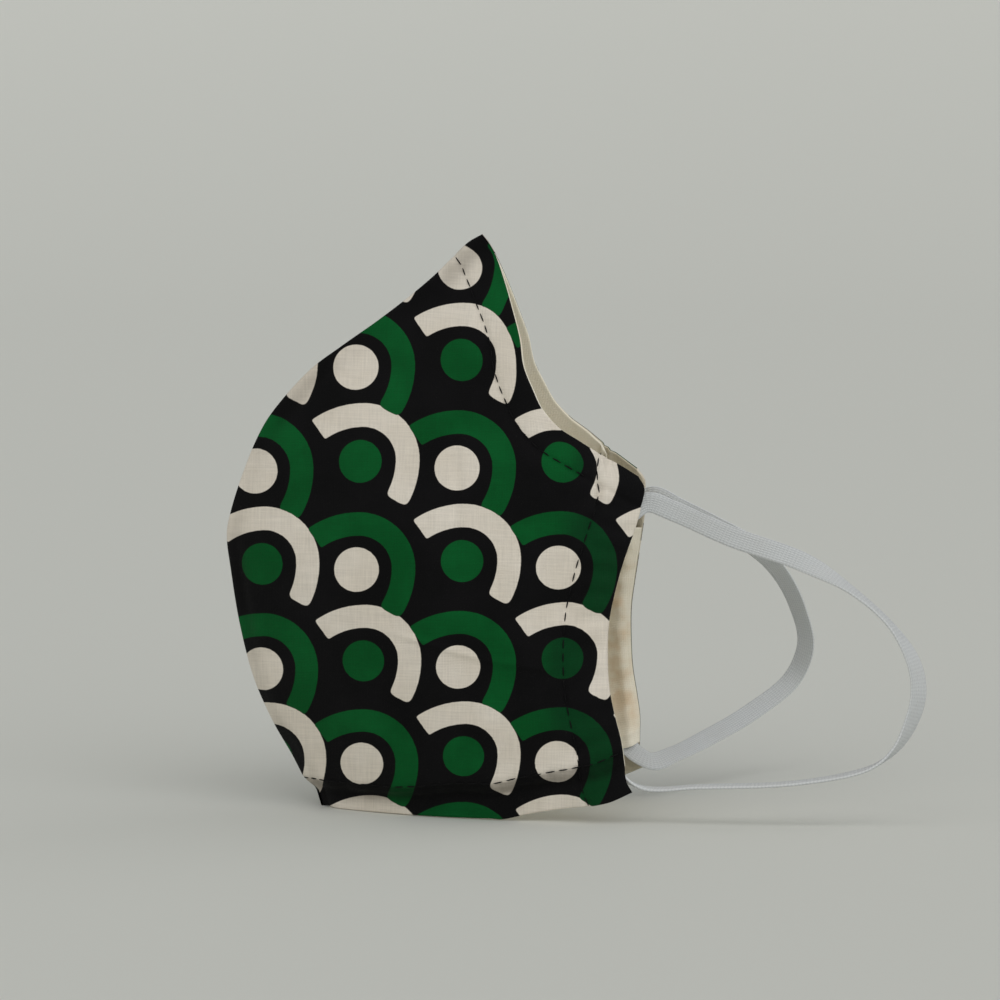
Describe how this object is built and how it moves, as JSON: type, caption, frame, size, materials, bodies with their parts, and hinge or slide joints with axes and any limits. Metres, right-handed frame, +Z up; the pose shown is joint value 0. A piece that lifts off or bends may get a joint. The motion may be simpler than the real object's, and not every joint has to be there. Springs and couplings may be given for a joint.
{
  "type": "cloth face mask",
  "caption": "Moulded two-panel cloth face mask with a front seam, a lining and flat elastic ear loops, standing on its lower edge.",
  "frame": {"origin": "on the table, under the middle of the box round the whole mask with its ear loops", "axes": "+Z up from the chin to the bridge of the nose, -X towards the nose, +X towards the ears, -Y towards the wearer's left"},
  "size_m": [0.1742, 0.0886, 0.1433],
  "materials": {
    "printed_cotton": "plain-weave cotton printed black, green and off-white",
    "cream_lining": "plain-weave cotton, cream",
    "white_elastic": "flat braided elastic, white"
  },
  "bodies": {
    "root": {"outer_panel_left": "printed_cotton", "outer_panel_right": "printed_cotton", "lining_left": "cream_lining", "lining_right": "cream_lining", "ear_loop_left": "white_elastic", "ear_loop_right": "white_elastic"}
  },
  "joints": []
}
